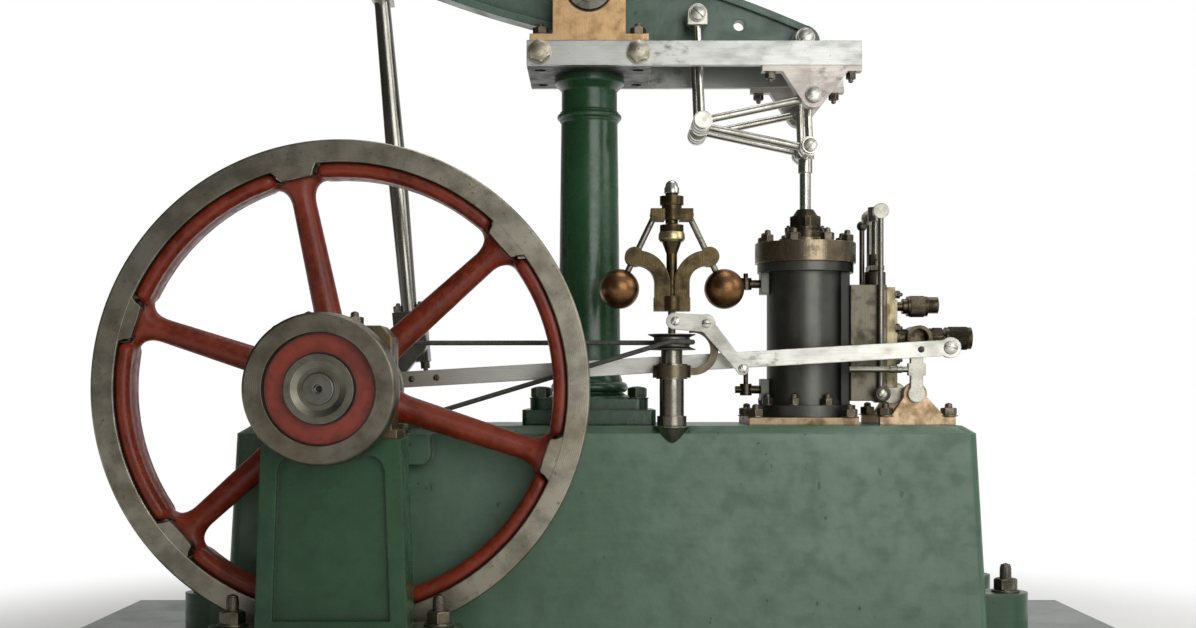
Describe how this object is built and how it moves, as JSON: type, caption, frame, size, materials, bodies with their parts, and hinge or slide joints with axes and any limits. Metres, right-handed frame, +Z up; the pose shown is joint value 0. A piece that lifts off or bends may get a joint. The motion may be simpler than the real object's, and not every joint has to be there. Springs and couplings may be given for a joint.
{
  "type": "model beam engine",
  "caption": "Workshop-made model beam engine on a flat base plate: flywheel, rocking beam with parallel motion, steam cylinder and ball governor.",
  "frame": {"origin": "centre of the base plate's underside", "axes": "+Z up, +X from the flywheel end to the cylinder end, +Y from the side with the flywheel to the back"},
  "size_m": [0.892, 0.452, 0.6071],
  "materials": {
    "slab_steel": "ground grey plate",
    "bed_green": "grey-green engine enamel on cast iron",
    "dark_green": "deep green engine enamel on cast iron",
    "beam_green": "green engine enamel on cast iron",
    "red_paint": "red-brown engine enamel",
    "gunmetal": "machined gunmetal",
    "old_bronze": "dark handled bronze",
    "ball_bronze": "dark polished bronze",
    "polished_steel": "polished bright steel",
    "pale_steel": "pale draw-filed steel",
    "worn_steel": "dark handled steel",
    "cast_grey": "turned cast iron",
    "lagging_black": "blued sheet lagging",
    "belt_rubber": "round black belt"
  },
  "bodies": {
    "frame": {"base_plate": "slab_steel", "bed": "bed_green", "pedestal": "dark_green", "pedestal_bearing": "gunmetal", "main_bearing": "gunmetal", "column": "dark_green", "entablature": "pale_steel", "trunnion_bearings": "gunmetal", "side_bars": "pale_steel", "radius_brackets": "pale_steel", "cylinder_base": "gunmetal", "cylinder_body": "lagging_black", "cylinder_cover": "worn_steel", "piston_gland": "old_bronze", "valve_chest": "polished_steel", "chest_cover": "gunmetal", "steam_inlet": "old_bronze", "chest_oiler": "old_bronze", "drain_cocks": "old_bronze", "rocker_bearings": "gunmetal", "governor_stand": "worn_steel", "governor_belt": "belt_rubber", "governor_bracket": "ball_bronze"},
    "crankshaft": {"crankshaft": "polished_steel", "flywheel": "red_paint", "front_pulley": "cast_grey", "eccentric_sheave": "cast_grey", "drive_pulley": "worn_steel"},
    "eccentric": {"eccentric_rod": "pale_steel"},
    "governor": {"governor_spindle": "worn_steel", "governor_frame": "old_bronze", "governor_collar": "old_bronze"},
    "left_arm": {"left_ball_arm": "ball_bronze"},
    "right_arm": {"right_ball_arm": "ball_bronze"},
    "governor_lever": {"governor_lever": "pale_steel"},
    "beam": {"beam": "beam_green", "beam_pins": "polished_steel"},
    "connecting_rod": {"connecting_rod": "worn_steel", "crank_pin": "polished_steel"},
    "main_links": {"main_links": "worn_steel"},
    "back_links": {"back_links": "worn_steel"},
    "parallel_rods": {"parallel_rods": "worn_steel"},
    "radius_rods": {"radius_rods": "worn_steel"},
    "piston": {"piston_rod": "polished_steel", "piston": "cast_grey"},
    "rocker": {"rocker_lever": "pale_steel"},
    "valve": {"valve_rod": "polished_steel"}
  },
  "joints": [
    {"name": "crank_turn", "type": "hinge", "parent": "frame", "child": "crankshaft", "pos_m": [-0.196, 0.03, 0.224], "axis": [0, -1, 0], "continuous": true},
    {"name": "eccentric_turn", "type": "hinge", "parent": "crankshaft", "child": "eccentric", "pos_m": [-0.199, -0.026, 0.2292], "axis": [0, -1, 0], "continuous": true},
    {"name": "governor_turn", "type": "hinge", "parent": "frame", "child": "governor", "pos_m": [0.059, -0.045, 0.2615], "axis": [0, 0, 1], "continuous": true},
    {"name": "right_arm_swing", "type": "hinge", "parent": "governor", "child": "right_arm", "pos_m": [0.0726, -0.045, 0.363], "axis": [0, -1, 0], "range_deg": [0, 12]},
    {"name": "left_arm_swing", "type": "hinge", "parent": "governor", "child": "left_arm", "pos_m": [0.0454, -0.045, 0.363], "axis": [0, 1, 0], "range_deg": [0, 12]},
    {"name": "governor_lever_tilt", "type": "hinge", "parent": "frame", "child": "governor_lever", "pos_m": [0.086, -0.051, 0.276], "axis": [0, -1, 0], "range_deg": [0, 6]},
    {"name": "beam_rock", "type": "hinge", "parent": "frame", "child": "beam", "pos_m": [-0.0073, 0.03, 0.554], "axis": [0, -1, 0], "range_deg": [-5.45, 29.45]},
    {"name": "connecting_rod_swing", "type": "hinge", "parent": "beam", "child": "connecting_rod", "pos_m": [-0.18669, 0.03, 0.59213], "axis": [0, -1, 0], "range_deg": [-29.45, 5.45]},
    {"name": "main_links_swing", "type": "hinge", "parent": "beam", "child": "main_links", "pos_m": [0.17209, 0.03, 0.51587], "axis": [0, -1, 0], "range_deg": [-29.45, 5.45]},
    {"name": "back_links_swing", "type": "hinge", "parent": "beam", "child": "back_links", "pos_m": [0.0824, 0.03, 0.53493], "axis": [0, -1, 0], "range_deg": [-29.45, 5.45]},
    {"name": "parallel_rods_swing", "type": "hinge", "parent": "back_links", "child": "parallel_rods", "pos_m": [0.08619, 0.03, 0.44501], "axis": [0, -1, 0], "range_deg": [-5.45, 29.45]},
    {"name": "radius_rods_swing", "type": "hinge", "parent": "frame", "child": "radius_rods", "pos_m": [0.1759, 0.03, 0.464], "axis": [0, -1, 0], "range_deg": [-29.45, 5.45]},
    {"name": "piston_slide", "type": "slide", "parent": "frame", "child": "piston", "axis": [0, 0, 1], "range_m": [-0.0173, 0.0929]},
    {"name": "rocker_swing", "type": "hinge", "parent": "frame", "child": "rocker", "pos_m": [0.26, 0.03, 0.22], "axis": [0, -1, 0], "range_deg": [-10, 10]},
    {"name": "valve_slide", "type": "slide", "parent": "frame", "child": "valve", "axis": [0, 0, 1], "range_m": [-0.0044, 0.0044]}
  ],
  "couplings": [
    {"joint": "eccentric_turn", "follows": "crank_turn", "ratio": -1},
    {"joint": "governor_turn", "follows": "crank_turn", "ratio": -2.1765},
    {"joint": "left_arm_swing", "follows": "right_arm_swing", "ratio": 1},
    {"joint": "governor_lever_tilt", "follows": "right_arm_swing", "ratio": 0.5},
    {"joint": "connecting_rod_swing", "follows": "beam_rock", "ratio": -1},
    {"joint": "main_links_swing", "follows": "beam_rock", "ratio": -1},
    {"joint": "back_links_swing", "follows": "beam_rock", "ratio": -1},
    {"joint": "parallel_rods_swing", "follows": "beam_rock", "ratio": 1},
    {"joint": "radius_rods_swing", "follows": "beam_rock", "ratio": -1},
    {"joint": "piston_slide", "follows": "beam_rock", "m_per_rad": 0.18058},
    {"joint": "valve_slide", "follows": "rocker_swing", "m_per_rad": -0.025}
  ]
}
